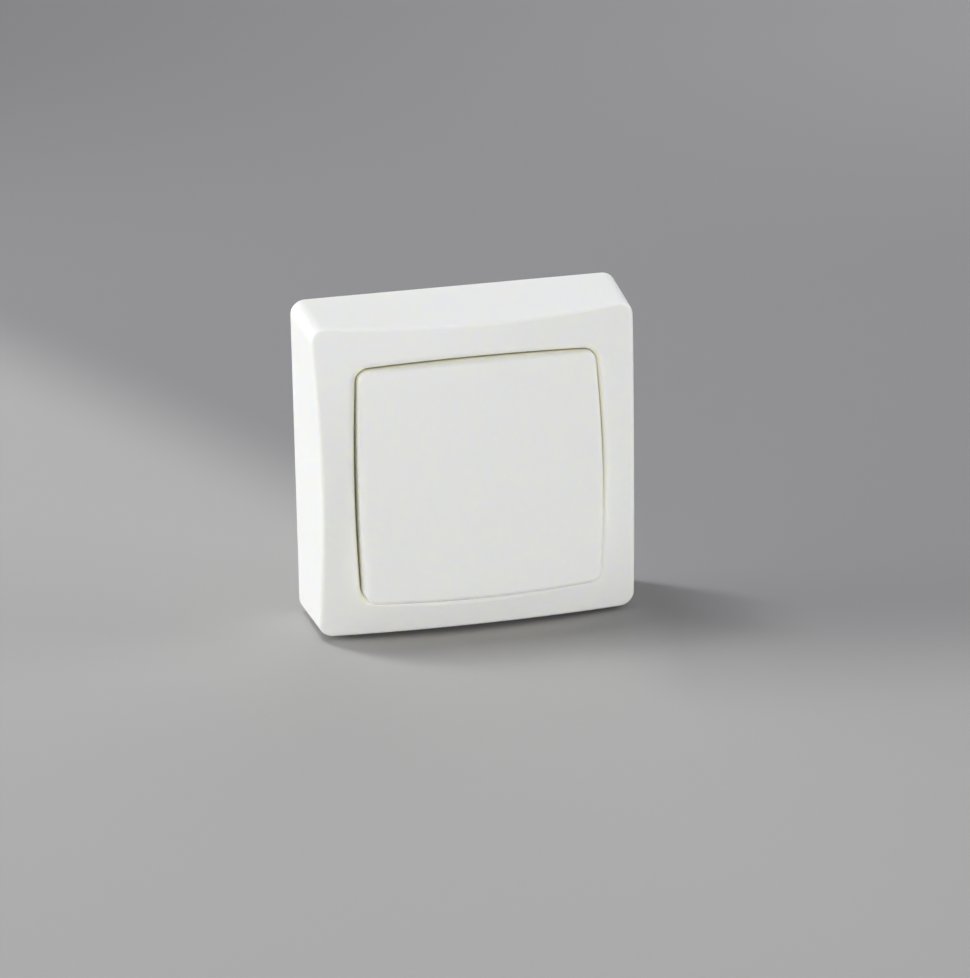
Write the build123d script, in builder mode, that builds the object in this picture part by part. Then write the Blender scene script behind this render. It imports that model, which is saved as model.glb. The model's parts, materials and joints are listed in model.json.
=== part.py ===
from build123d import *
from math import atan, cos, degrees, radians, sin, tan
import os

# Surface-mounted rocker light switch: a one-piece hood over a base plate, and a two-way
# switch mechanism on a steel yoke, worked by one large rocker.
# Millimetres. The wall is the plane y = 0, the front looks along -Y and +Z is up. The origin
# is the centre of the back face. A depth is a distance out from the wall.

# Hood, drafted so that it leaves its mould, with a domed front. Its sides are straight at the
# wall and bow inwards towards the front.
hood_width = 86.0
hood_height = 86.0
hood_corner_radius = 3.8
hood_draft = 2.2
hood_bow = 1.0
hood_wall = 2.2
hood_edge_radius = 1.3
front_crown = 29.8
front_radius = 200.0
front_wall = 2.2

# Opening in the hood, with sides that bulge outwards between rounded corners
opening_half_width = 33.0
opening_half_height = 33.0
opening_bulge = 1.45
opening_corner_radius = 4.0
opening_edge_radius = 0.5
collar_wall = 1.5
collar_length = 4.5

# Knock-outs for a cable that runs on the wall, outlined by grooves inside the hood
knockout_width = 16.0
knockout_height = 12.0
knockout_groove = 0.8
knockout_skin = 1.0

# Ledges inside the hood that hook over the rim of the base plate
hook_length = 10.0
hook_reach = 1.1
hook_height = 1.4
hook_offset = 22.0
hook_clearance = 0.2

# Base plate
base_clearance = 0.3
base_thickness = 2.5
base_corner_radius = 2.5
rim_height = 6.5
rim_wall = 1.8
wall_screw_pitch = 60.0
wall_slot_width = 4.2
wall_slot_length = 8.0
entry_width = 16.0
entry_height = 11.0
entry_offset_x = 17.0
entry_offset_z = 29.5
entry_corner_radius = 1.5
boss_radius = 3.8

# Rocker, a shell with a slightly domed face
rocker_gap_side = 1.4
rocker_gap_top = 1.3
rocker_bulge = 1.05
rocker_corner_radius = 3.2
rocker_face_radius = 520.0
rocker_face_rise = 5.8
rocker_skirt = 4.0
rocker_wall = 2.0
rocker_edge_radius = 0.9
rocker_rest_tilt = 4.5
pivot_below_crown = 5.3

# Legs of the rocker, which snap through the cradle
leg_width = 3.6
leg_thickness = 1.5
leg_offset_x = 8.0
leg_offset_z = 8.2
leg_barb = 0.4
leg_barb_height = 1.0
leg_barb_gap = 0.1
leg_clearance = 0.15

# Cradle that carries the rocker and turns in the ears of the lid
cradle_width = 21.0
cradle_height = 22.0
cradle_thickness = 2.7
cradle_rise = 0.6
cradle_corner_radius = 1.5
cheek_thickness = 1.6
cheek_radius = 2.6
pin_radius = 1.6
pin_clearance = 0.05
pin_end_play = 0.3
pin_overhang = 0.2
tube_wall = 1.0
bore_radius = 2.1

# Lid of the mechanism, with its ears and the stops for the cradle
lid_thickness = 2.0
lid_below_pivot = 5.2
lid_step = 1.0
lid_clearance = 0.15
ear_thickness = 2.6
ear_radius = 3.1
stop_width = 9.0
stop_thickness = 1.4
stop_offset = 8.6
stop_clearance = 0.25
window_clearance = 0.6
driver_hole_clearance = 0.4

# Housing of the mechanism
housing_width = 46.0
housing_height = 42.0
housing_corner_radius = 2.5
housing_wall = 1.6
housing_floor = 1.2
flange_width = 2.0
flange_thickness = 1.5
flange_front = 12.0
wire_hole_radius = 1.4

# Steel yoke that holds the housing down on the base plate
yoke_width = 54.0
yoke_height = 72.0
yoke_thickness = 1.2
yoke_corner_radius = 4.0
yoke_window_clearance = 0.2
yoke_screw_pitch = 60.0
yoke_slot_length = 7.0
yoke_slot_clearance = 0.2

# Screws
screw_radius = 1.5
screw_fit = 0.05
yoke_screw_length = 9.0
yoke_head_radius = 3.0
yoke_head_height = 1.8
terminal_screw_length = 5.6
terminal_head_radius = 2.6
terminal_head_height = 1.8
head_edge_radius = 0.4
driver_slot_width = 0.8
driver_slot_depth = 0.9
pilot_spare = 0.3

# Contact lever, which tips on the fork of the common terminal
lever_half_length = 10.2
lever_width = 5.0
lever_thickness = 1.2
lever_corner_radius = 1.2
lever_tilt = 10.0
lever_pin_radius = 0.7
lever_pin_length = 1.9
contact_offset = 8.5
contact_radius = 1.5
contact_height = 0.8
contact_closed_gap = 0.15
rivet_radius = 0.8
rivet_fit = 0.05

# Plunger and its spring in the cradle's tube
plunger_clearance = 0.08
plunger_out = 3.0
plunger_body = 2.6
plunger_tip_radius = 1.2
plunger_tip_gap = 0.3
spring_wire_radius = 0.28
spring_turns = 4.5
spring_clearance = 0.2
spring_end_gap = 0.1
stud_radius = 1.0
stud_height = 1.0

# Terminals: punched strips with cage clamps
strip_thickness = 0.8
strip_width = 4.6
strip_margin = 0.6
strip_end = 0.8
pad_clearance = 0.8
fork_thickness = 0.8
fork_gap = 0.3
fork_fit = 0.06
fork_rise = 1.2
cage_width = 6.4
cage_length = 5.0
cage_wall = 0.8
cage_nut = 1.6
cage_clearance = 0.1
cage_headroom = 1.4
wire_space = 1.8
terminal_clearance = 0.9

# Lean of the hood's sides at their middle, which the base plate has too
side_slope = tan(radians(hood_draft)) + hood_bow / front_crown
side_draft = degrees(atan(side_slope))

# Depths, from the base plate outwards to the lever
floor_front = base_thickness + housing_floor
cage_back = floor_front + cage_clearance
strip_back = cage_back + cage_wall + wire_space
strip_front = strip_back + strip_thickness
cage_front = strip_front + cage_headroom + cage_nut
lever_sine = sin(radians(lever_tilt))
lever_cosine = cos(radians(lever_tilt))
lever_low_side = lever_thickness / 2 + contact_height
lever_depth = (
    strip_front
    + contact_height
    + contact_closed_gap
    + (contact_offset + contact_radius) * lever_sine
    + lever_low_side * lever_cosine
)
contact_place = contact_offset * lever_cosine - lever_low_side * lever_sine

# Depths, from the crown of the front inwards to the plunger
pivot_depth = front_crown - pivot_below_crown
collar_back = pivot_depth - collar_length
collar_front = pivot_depth - collar_length / 2
lid_front = pivot_depth - lid_below_pivot
lid_back = lid_front - lid_thickness
tilt_sine = sin(radians(rocker_rest_tilt))
tilt_cosine = cos(radians(rocker_rest_tilt))
plunger_reach = pivot_depth - lever_depth - lever_thickness / 2 - plunger_tip_gap
tube_length = plunger_reach - plunger_out
plunger_back = tube_length - plunger_body

# Sizes that two pieces share
base_width = hood_width - 2 * hood_wall - 2 * base_clearance
base_height = hood_height - 2 * hood_wall - 2 * base_clearance
rocker_half_width = opening_half_width - rocker_gap_side
rocker_half_height = opening_half_height - rocker_gap_top
tube_radius = bore_radius + tube_wall
plunger_radius = bore_radius - plunger_clearance
ear_inner = cradle_width / 2 + pin_end_play
ear_outer = ear_inner + ear_thickness
terminal_reach = housing_wall + terminal_clearance + strip_end + cage_length / 2
terminal_offset = housing_height / 2 - terminal_reach
common_offset = housing_width / 2 - terminal_reach
terminals = {
    "upper": (0, terminal_offset),
    "lower": (180, terminal_offset),
    "common": (90, common_offset),
}

wall_plane = Plane(origin=(0, 0, 0), x_dir=(1, 0, 0), z_dir=(0, -1, 0))
rocker_plane = Plane(
    origin=(0, -pivot_depth, 0), x_dir=(1, 0, 0), z_dir=(0, -tilt_cosine, tilt_sine)
)
rocker_axis = Axis(rocker_plane.origin, rocker_plane.z_dir)
rocker_section = Plane(
    origin=rocker_plane.origin, x_dir=(1, 0, 0), z_dir=(0, -tilt_sine, -tilt_cosine)
)
lever_plane = Plane(
    origin=(0, -lever_depth, 0), x_dir=(1, 0, 0), z_dir=(0, -lever_cosine, -lever_sine)
)
os.makedirs("parts", exist_ok=True)


def turned_plane(depth, turn):
    """A plane parallel to the wall at a depth, turned about the middle of the switch."""
    angle = radians(turn)
    return Plane(origin=(0, -depth, 0), x_dir=(cos(angle), 0, sin(angle)), z_dir=(0, -1, 0))


def side_plane(depth, reach, turn):
    """A plane square to the wall, a reach away from the middle, that looks outwards."""
    flat = turned_plane(depth, turn)
    return Plane(origin=flat.origin + flat.y_dir * reach, x_dir=flat.x_dir, z_dir=flat.y_dir)


def across_plane(depth, x):
    """A plane square to the X axis, whose own axes are up and out from the wall."""
    return Plane(origin=(x, -depth, 0), x_dir=(0, 0, 1), z_dir=(1, 0, 0))


def bulged_square(half_width, half_height, bulge, corner_radius):
    """A square whose sides are arcs that bulge outwards, or inwards below zero, with rounded corners."""
    corner_x = half_width - bulge
    corner_y = half_height - bulge
    with BuildSketch() as outline:
        with BuildLine():
            ThreePointArc((corner_x, -corner_y), (half_width, 0), (corner_x, corner_y))
            ThreePointArc((corner_x, corner_y), (0, half_height), (-corner_x, corner_y))
            ThreePointArc((-corner_x, corner_y), (-half_width, 0), (-corner_x, -corner_y))
            ThreePointArc((-corner_x, -corner_y), (0, -half_height), (corner_x, -corner_y))
        make_face()
        fillet(outline.vertices(), corner_radius)
    return outline.sketch


def save(piece, name):
    """Label a finished piece and write it to its own file."""
    piece.part.label = name
    export_step(piece.part, f"parts/{name}.step")


def bowed_block(width, height, corner_radius, dome_radius):
    """A block with drafted sides that bow inwards towards its domed front."""
    with BuildPart() as block:
        with BuildSketch(wall_plane):
            RectangleRounded(width, height, corner_radius)
        with BuildSketch(wall_plane.offset(front_crown)):
            add(
                bulged_square(
                    width / 2 - front_crown * side_slope,
                    height / 2 - front_crown * side_slope,
                    -hood_bow,
                    corner_radius,
                )
            )
        loft(ruled=True)
        with Locations((0, front_radius - front_crown, 0)):
            Sphere(dome_radius, mode=Mode.INTERSECT)
    return block


# Inside of the hood
hood_cavity = bowed_block(
    hood_width - 2 * hood_wall,
    hood_height - 2 * hood_wall,
    hood_corner_radius - hood_wall / 2,
    front_radius - front_wall,
)

# Collar behind the edge of the opening, which hides the mechanism from the side
with BuildPart() as collar:
    with BuildSketch(wall_plane.offset(collar_back)):
        add(
            bulged_square(
                opening_half_width + collar_wall,
                opening_half_height + collar_wall,
                opening_bulge,
                opening_corner_radius + collar_wall,
            )
        )
    extrude(amount=front_crown - collar_back)
    with Locations((0, front_radius - front_crown, 0)):
        Sphere(front_radius - front_wall / 2, mode=Mode.INTERSECT)

# Hood
hood_block = bowed_block(hood_width, hood_height, hood_corner_radius, front_radius)
with BuildPart() as cover_frame:
    add(hood_block.part)
    front_face = cover_frame.faces().sort_by(Axis.Y)[0]
    fillet(front_face.edges(), hood_edge_radius)
    add(hood_cavity.part, mode=Mode.SUBTRACT)
    add(collar.part)
    # The opening, with a softened edge
    with BuildSketch(wall_plane.offset(collar_back)):
        add(
            bulged_square(
                opening_half_width, opening_half_height, opening_bulge, opening_corner_radius
            )
        )
    extrude(amount=front_crown - collar_back, mode=Mode.SUBTRACT)
    rim = cover_frame.edges(Select.LAST).filter_by(GeomType.LINE, reverse=True)
    fillet(rim.filter_by(lambda edge: -edge.center().Y > collar_front), opening_edge_radius)
    # Ledges that hook over the rim of the base plate, two on each side
    hook_back = rim_height + hook_clearance
    hook_span = hook_reach + hood_wall / 2
    for turn in (0, 90, 180, 270):
        half_size = hood_width / 2 if turn % 180 else hood_height / 2
        hook_edge = half_size - hood_wall - hook_back * side_slope - hook_reach
        with BuildSketch(turned_plane(hook_back, turn)):
            with Locations((-hook_offset, hook_edge), (hook_offset, hook_edge)):
                Rectangle(hook_length, hook_span, align=(Align.CENTER, Align.MIN))
        extrude(amount=hook_height)
    # Grooves that outline the knock-outs, above and below
    groove_edge = hood_height / 2 - knockout_height * side_slope - knockout_skin
    for turn in (0, 180):
        with BuildSketch(turned_plane(0, turn)):
            with Locations((0, groove_edge)):
                Rectangle(knockout_width, hood_wall, align=(Align.CENTER, Align.MAX))
                Rectangle(
                    knockout_width - 2 * knockout_groove,
                    hood_wall,
                    align=(Align.CENTER, Align.MAX),
                    mode=Mode.SUBTRACT,
                )
        extrude(amount=knockout_height, mode=Mode.SUBTRACT)
        with BuildSketch(turned_plane(knockout_height - knockout_groove, turn)):
            with Locations((0, groove_edge)):
                Rectangle(knockout_width, hood_wall, align=(Align.CENTER, Align.MAX))
        extrude(amount=knockout_groove, mode=Mode.SUBTRACT)
save(cover_frame, "cover_frame")

# Base plate, a tray with the same draft as the hood round it
with BuildPart() as base_plate:
    with BuildSketch(wall_plane):
        RectangleRounded(base_width, base_height, base_corner_radius)
    extrude(amount=rim_height, taper=side_draft)
    with BuildSketch(wall_plane.offset(base_thickness)):
        RectangleRounded(
            base_width - 2 * rim_wall - 2 * rim_height * side_slope,
            base_height - 2 * rim_wall - 2 * rim_height * side_slope,
            base_corner_radius / 2,
        )
    extrude(amount=rim_height - base_thickness, mode=Mode.SUBTRACT)
    with BuildSketch(wall_plane.offset(base_thickness)):
        with GridLocations(0, yoke_screw_pitch, 1, 2):
            Circle(boss_radius)
    extrude(amount=flange_front - base_thickness)
    with Locations(wall_plane.offset(flange_front)):
        with GridLocations(0, yoke_screw_pitch, 1, 2):
            Hole(screw_radius + screw_fit, yoke_screw_length - yoke_thickness + pilot_spare)
    with BuildSketch(wall_plane):
        with GridLocations(wall_screw_pitch, 0, 2, 1):
            SlotOverall(wall_slot_length, wall_slot_width)
        with Locations((entry_offset_x, entry_offset_z)):
            RectangleRounded(entry_width, entry_height, entry_corner_radius)
    extrude(amount=base_thickness, mode=Mode.SUBTRACT)
save(base_plate, "base_plate")

# Housing of the mechanism, open to the front under its lid
with BuildPart() as mechanism_housing:
    with BuildSketch(wall_plane.offset(base_thickness)):
        RectangleRounded(housing_width, housing_height, housing_corner_radius)
    extrude(amount=lid_back - base_thickness)
    with BuildSketch(wall_plane.offset(flange_front - flange_thickness)):
        RectangleRounded(
            housing_width + 2 * flange_width,
            housing_height + 2 * flange_width,
            housing_corner_radius,
        )
    extrude(amount=flange_thickness)
    with BuildSketch(wall_plane.offset(floor_front)):
        RectangleRounded(
            housing_width - 2 * housing_wall,
            housing_height - 2 * housing_wall,
            housing_corner_radius - housing_wall / 2,
        )
    extrude(amount=lid_back - floor_front, mode=Mode.SUBTRACT)
    # Pads that the terminal strips lie on
    pad_end = terminal_offset - cage_length / 2 - pad_clearance
    pad_start = contact_place - contact_radius - strip_margin
    common_pad_start = -common_offset + cage_length / 2 + pad_clearance
    common_pad_end = lever_width / 2 + fork_gap + fork_thickness
    with BuildSketch(wall_plane.offset(floor_front)):
        for side in (-1, 1):
            with Locations((0, side * (pad_start + pad_end) / 2)):
                Rectangle(strip_width, pad_end - pad_start)
        with Locations(((common_pad_start + common_pad_end) / 2, 0)):
            Rectangle(common_pad_end - common_pad_start, strip_width)
    extrude(amount=strip_back - floor_front)
    # Holes for the wires, one opposite each clamp
    wire_depth = strip_back - wire_space / 2
    for turn, offset in terminals.values():
        wall_inside = offset + terminal_reach - housing_wall
        with BuildSketch(side_plane(wire_depth, wall_inside, turn)):
            Circle(wire_hole_radius)
        extrude(amount=housing_wall, mode=Mode.SUBTRACT)
save(mechanism_housing, "mechanism_housing")

# Lid of the mechanism
with BuildPart() as housing_lid:
    with BuildSketch(wall_plane.offset(lid_back)):
        RectangleRounded(housing_width, housing_height, housing_corner_radius)
    extrude(amount=lid_thickness)
    with BuildSketch(wall_plane.offset(lid_back - lid_step)):
        RectangleRounded(
            housing_width - 2 * housing_wall - 2 * lid_clearance,
            housing_height - 2 * housing_wall - 2 * lid_clearance,
            housing_corner_radius - housing_wall / 2 - lid_clearance,
        )
    extrude(amount=lid_step)
    # Ears round the pins of the cradle
    for inner_side in (ear_inner, -ear_outer):
        with BuildSketch(across_plane(pivot_depth, inner_side)):
            Circle(ear_radius)
            with Locations((0, -lid_below_pivot / 2)):
                Rectangle(2 * ear_radius, lid_below_pivot)
            Circle(pin_radius + pin_clearance, mode=Mode.SUBTRACT)
        extrude(amount=ear_thickness)
    # Stops that end the travel of the cradle
    stop_reach = stop_offset + stop_thickness / 2
    stop_front = pivot_depth + cradle_rise * tilt_cosine - stop_reach * tilt_sine - stop_clearance
    with BuildSketch(wall_plane.offset(lid_front)):
        with GridLocations(0, 2 * stop_offset, 1, 2):
            Rectangle(stop_width, stop_thickness)
    extrude(amount=stop_front - lid_front)
    # Window for the tube and holes for the screwdriver
    with BuildSketch(wall_plane.offset(lid_back - lid_step)):
        Rectangle(
            2 * (tube_radius + window_clearance),
            2 * (tube_radius + tube_length * tilt_sine + window_clearance),
        )
    extrude(amount=lid_step + lid_thickness, mode=Mode.SUBTRACT)
    for turn, offset in terminals.values():
        with BuildSketch(turned_plane(lid_back - lid_step, turn)):
            with Locations((0, offset)):
                Circle(terminal_head_radius + driver_hole_clearance)
        extrude(amount=lid_step + lid_thickness, mode=Mode.SUBTRACT)
save(housing_lid, "housing_lid")

# Yoke, a punched steel plate round the housing
with BuildPart() as support_yoke:
    with BuildSketch(wall_plane.offset(flange_front)):
        RectangleRounded(yoke_width, yoke_height, yoke_corner_radius)
        Rectangle(
            housing_width + 2 * yoke_window_clearance,
            housing_height + 2 * yoke_window_clearance,
            mode=Mode.SUBTRACT,
        )
        with GridLocations(0, yoke_screw_pitch, 1, 2):
            SlotOverall(
                yoke_slot_length, 2 * (screw_radius + yoke_slot_clearance), mode=Mode.SUBTRACT
            )
    extrude(amount=yoke_thickness)
save(support_yoke, "support_yoke")


def make_screw(turn, offset, head_back, length, head_radius, head_height):
    """A slotted pan-head screw that points at the wall, off the middle by offset."""
    seat = turned_plane(head_back, turn)
    with BuildPart() as screw:
        with BuildSketch(seat):
            with Locations((0, offset)):
                Circle(screw_radius)
        extrude(amount=-length)
        with BuildSketch(seat):
            with Locations((0, offset)):
                Circle(head_radius)
        extrude(amount=head_height)
        fillet(screw.edges().sort_by(Axis.Y)[0], head_edge_radius)
        with BuildSketch(seat.offset(head_height - driver_slot_depth)):
            with Locations((0, offset)):
                Rectangle(2 * head_radius, driver_slot_width)
        extrude(amount=driver_slot_depth, mode=Mode.SUBTRACT)
    return screw


# Screws of the yoke
for name, turn in (("upper", 0), ("lower", 180)):
    yoke_screw = make_screw(
        turn,
        yoke_screw_pitch / 2,
        flange_front + yoke_thickness,
        yoke_screw_length,
        yoke_head_radius,
        yoke_head_height,
    )
    save(yoke_screw, f"yoke_screw_{name}")

# Inside of the rocker
with BuildPart() as rocker_cavity:
    with BuildSketch(rocker_plane.offset(-rocker_skirt)):
        add(
            bulged_square(
                rocker_half_width - rocker_wall,
                rocker_half_height - rocker_wall,
                rocker_bulge,
                rocker_corner_radius - rocker_wall / 2,
            )
        )
    extrude(amount=rocker_skirt + rocker_face_rise)
    with Locations(rocker_plane.offset(rocker_face_rise - rocker_face_radius)):
        Sphere(rocker_face_radius - rocker_wall, rotation=(90, 0, 0), mode=Mode.INTERSECT)

# Rocker
leg_back = cradle_rise - leg_barb_gap - leg_barb_height
leg_outside = leg_offset_x + leg_thickness / 2
with BuildPart() as rocker:
    with BuildSketch(rocker_plane.offset(-rocker_skirt)):
        add(
            bulged_square(
                rocker_half_width, rocker_half_height, rocker_bulge, rocker_corner_radius
            )
        )
    extrude(amount=rocker_skirt + rocker_face_rise)
    with Locations(rocker_plane.offset(rocker_face_rise - rocker_face_radius)):
        Sphere(rocker_face_radius, rotation=(90, 0, 0), mode=Mode.INTERSECT)
    rocker_face = rocker.faces().sort_by(rocker_axis)[-1]
    fillet(rocker_face.edges(), rocker_edge_radius)
    add(rocker_cavity.part, mode=Mode.SUBTRACT)
    with BuildSketch(rocker_plane.offset(leg_back)):
        with GridLocations(2 * leg_offset_x, 2 * leg_offset_z, 2, 2):
            Rectangle(leg_thickness, leg_width)
    extrude(amount=rocker_face_rise - rocker_wall / 2 - leg_back)
    # Barbs that catch under the cradle
    for height in (-leg_offset_z, leg_offset_z):
        with BuildSketch(rocker_section.offset(height)):
            for side in (-1, 1):
                with BuildLine():
                    Polyline(
                        (side * leg_outside, leg_back),
                        (side * (leg_outside + leg_barb), leg_back + leg_barb_height),
                        (side * leg_outside, leg_back + leg_barb_height),
                        close=True,
                    )
                make_face()
        extrude(amount=leg_width / 2, both=True)
save(rocker, "rocker")

# Cradle
with BuildPart() as cradle:
    with BuildSketch(rocker_plane.offset(cradle_rise)):
        RectangleRounded(cradle_width, cradle_height, cradle_corner_radius)
        with GridLocations(2 * leg_offset_x, 2 * leg_offset_z, 2, 2):
            Rectangle(
                leg_thickness + 2 * leg_clearance,
                leg_width + 2 * leg_clearance,
                mode=Mode.SUBTRACT,
            )
    extrude(amount=cradle_thickness)
    with BuildSketch(rocker_plane.offset(-tube_length)):
        Circle(tube_radius)
    extrude(amount=tube_length + cradle_rise)
    with BuildSketch(rocker_plane.offset(-tube_length)):
        Circle(bore_radius)
    extrude(amount=tube_length + cradle_rise, mode=Mode.SUBTRACT)
    # Pins that turn in the ears, on round cheeks
    pin_end = ear_outer + pin_overhang
    for cheek_side, pin_side in (
        (cradle_width / 2 - cheek_thickness, cradle_width / 2),
        (-cradle_width / 2, -pin_end),
    ):
        with BuildSketch(across_plane(pivot_depth, cheek_side)):
            Circle(cheek_radius)
        extrude(amount=cheek_thickness)
        with BuildSketch(across_plane(pivot_depth, pin_side)):
            Circle(pin_radius)
        extrude(amount=pin_end - cradle_width / 2)
save(cradle, "cradle")

# Plunger: a stub with a round tip below and a stud for the spring above
with BuildPart() as plunger:
    with BuildSketch(rocker_section):
        with BuildLine():
            tip_shoulder = (plunger_tip_radius, plunger_tip_radius - plunger_reach)
            Polyline(
                (0, -plunger_reach),
                (0, stud_height - plunger_back),
                (stud_radius, stud_height - plunger_back),
                (stud_radius, -plunger_back),
                (plunger_radius, -plunger_back),
                (plunger_radius, -tube_length),
                tip_shoulder,
            )
            RadiusArc(tip_shoulder, (0, -plunger_reach), plunger_tip_radius)
        make_face()
    revolve(axis=rocker_axis)
save(plunger, "plunger")

# Spring of the plunger
spring_back = spring_wire_radius + spring_end_gap - plunger_back
spring_front = cradle_rise - spring_wire_radius - spring_end_gap
with BuildPart() as plunger_spring:
    with BuildLine():
        coil = Helix(
            pitch=(spring_front - spring_back) / spring_turns,
            height=spring_front - spring_back,
            radius=bore_radius - spring_clearance - spring_wire_radius,
            center=rocker_plane.offset(spring_back).origin,
            direction=rocker_plane.z_dir,
        )
    with BuildSketch(Plane(origin=coil @ 0, z_dir=coil % 0)):
        Circle(spring_wire_radius)
    sweep(path=coil, is_frenet=True)
save(plunger_spring, "plunger_spring")

# Contact lever, a bar with two pins
with BuildPart() as contact_lever:
    with BuildSketch(lever_plane.offset(-lever_thickness / 2)):
        RectangleRounded(lever_width, 2 * lever_half_length, lever_corner_radius)
        with GridLocations(0, 2 * contact_offset, 1, 2):
            Circle(rivet_radius + rivet_fit, mode=Mode.SUBTRACT)
    extrude(amount=lever_thickness)
    for pin_side in (lever_width / 2, -lever_width / 2 - lever_pin_length):
        with BuildSketch(across_plane(lever_depth, pin_side)):
            Circle(lever_pin_radius)
        extrude(amount=lever_pin_length)
save(contact_lever, "contact_lever")

# Contacts riveted in the ends of the lever
for name, side in (("upper", 1), ("lower", -1)):
    with BuildPart() as lever_contact:
        with BuildSketch(lever_plane.offset(-lever_low_side)):
            with Locations((0, side * contact_offset)):
                Circle(contact_radius)
        extrude(amount=contact_height)
        with BuildSketch(lever_plane.offset(-lever_thickness / 2)):
            with Locations((0, side * contact_offset)):
                Circle(rivet_radius)
        extrude(amount=lever_thickness)
    save(lever_contact, f"lever_contact_{name}")

# Terminal strips of the two ways, each with its fixed contact
for name in ("upper", "lower"):
    turn, offset = terminals[name]
    with BuildPart() as terminal:
        with BuildSketch(turned_plane(strip_back, turn)):
            with Locations((0, pad_start)):
                Rectangle(
                    strip_width,
                    offset + cage_length / 2 + strip_end - pad_start,
                    align=(Align.CENTER, Align.MIN),
                )
            with Locations((0, contact_place)):
                Circle(rivet_radius + rivet_fit, mode=Mode.SUBTRACT)
        extrude(amount=strip_thickness)
    save(terminal, f"terminal_{name}")
    with BuildPart() as fixed_contact:
        with BuildSketch(turned_plane(strip_back, turn)):
            with Locations((0, contact_place)):
                Circle(rivet_radius)
        extrude(amount=strip_thickness)
        with BuildSketch(turned_plane(strip_front, turn)):
            with Locations((0, contact_place)):
                Circle(contact_radius)
        extrude(amount=contact_height)
    save(fixed_contact, f"fixed_contact_{name}")

# Terminal strip of the lever, with the fork that the lever's pins lie in
common_turn, common_place = terminals["common"]
fork_inside = lever_width / 2 + fork_gap
with BuildPart() as common_terminal:
    with BuildSketch(turned_plane(strip_back, common_turn)):
        with Locations((0, -common_pad_end)):
            Rectangle(
                strip_width,
                common_place + cage_length / 2 + strip_end + common_pad_end,
                align=(Align.CENTER, Align.MIN),
            )
    extrude(amount=strip_thickness)
    for fork_side in (fork_inside, -fork_inside - fork_thickness):
        with BuildSketch(across_plane(lever_depth, fork_side)):
            with Locations((0, fork_rise)):
                Rectangle(
                    strip_width,
                    fork_rise + lever_depth - strip_front,
                    align=(Align.CENTER, Align.MAX),
                )
            Circle(lever_pin_radius + fork_fit, mode=Mode.SUBTRACT)
            Rectangle(
                2 * (lever_pin_radius + fork_fit),
                fork_rise,
                align=(Align.CENTER, Align.MIN),
                mode=Mode.SUBTRACT,
            )
        extrude(amount=fork_thickness)
save(common_terminal, "common_terminal")

# Cage clamps round the ends of the strips, and their screws
cage_inside = cage_front - cage_nut - cage_back - cage_wall
for name, (turn, offset) in terminals.items():
    with BuildPart() as clamp:
        with BuildSketch(turned_plane(cage_back, turn)):
            with Locations((0, offset)):
                Rectangle(cage_width, cage_length)
        extrude(amount=cage_front - cage_back)
        with BuildSketch(turned_plane(cage_back + cage_wall, turn)):
            with Locations((0, offset)):
                Rectangle(cage_width - 2 * cage_wall, cage_length)
        extrude(amount=cage_inside, mode=Mode.SUBTRACT)
        with BuildSketch(turned_plane(cage_front - cage_nut, turn)):
            with Locations((0, offset)):
                Circle(screw_radius + screw_fit)
        extrude(amount=cage_nut, mode=Mode.SUBTRACT)
    save(clamp, f"clamp_{name}")
    terminal_screw = make_screw(
        turn,
        offset,
        strip_front + terminal_screw_length,
        terminal_screw_length,
        terminal_head_radius,
        terminal_head_height,
    )
    save(terminal_screw, f"terminal_screw_{name}")
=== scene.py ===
"""Finishes a surface-mounted light switch, on a plain studio stage.

The hood, the rocker and the plunger's spring are built again as smooth surfaces, and the other
pieces of the mechanism get their materials. The back of the switch lies in the plane y = 0, its
front looks along -Y, and +Z is up. It is shown as it stands on a floor, on the lower edge of its
hood. All lengths in this file are in metres.
"""

import json
import math

import bpy
import numpy as np
from bpy.props import FloatProperty, FloatVectorProperty, PointerProperty
from mathutils import Matrix, Vector


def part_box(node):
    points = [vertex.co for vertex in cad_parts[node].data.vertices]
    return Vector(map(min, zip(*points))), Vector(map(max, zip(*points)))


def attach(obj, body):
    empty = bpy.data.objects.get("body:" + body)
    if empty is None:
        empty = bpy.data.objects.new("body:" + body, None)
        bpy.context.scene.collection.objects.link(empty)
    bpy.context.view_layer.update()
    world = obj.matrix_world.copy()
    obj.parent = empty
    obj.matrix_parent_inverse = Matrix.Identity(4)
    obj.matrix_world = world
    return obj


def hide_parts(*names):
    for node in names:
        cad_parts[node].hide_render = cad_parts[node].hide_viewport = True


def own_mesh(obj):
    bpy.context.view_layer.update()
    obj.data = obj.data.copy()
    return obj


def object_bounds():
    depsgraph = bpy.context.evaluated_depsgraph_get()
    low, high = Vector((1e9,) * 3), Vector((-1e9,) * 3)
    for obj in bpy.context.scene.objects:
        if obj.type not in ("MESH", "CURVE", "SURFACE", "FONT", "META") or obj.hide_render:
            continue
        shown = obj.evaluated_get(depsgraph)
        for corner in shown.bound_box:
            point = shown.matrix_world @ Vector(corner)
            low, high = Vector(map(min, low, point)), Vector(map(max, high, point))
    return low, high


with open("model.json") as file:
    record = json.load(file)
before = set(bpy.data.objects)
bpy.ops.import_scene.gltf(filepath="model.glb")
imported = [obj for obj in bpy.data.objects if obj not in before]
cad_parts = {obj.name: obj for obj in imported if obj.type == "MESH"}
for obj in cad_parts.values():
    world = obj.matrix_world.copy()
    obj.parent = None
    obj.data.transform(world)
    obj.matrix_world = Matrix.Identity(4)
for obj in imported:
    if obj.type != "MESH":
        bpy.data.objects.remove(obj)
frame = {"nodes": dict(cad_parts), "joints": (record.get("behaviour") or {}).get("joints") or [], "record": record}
cad_low, cad_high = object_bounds()

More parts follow.
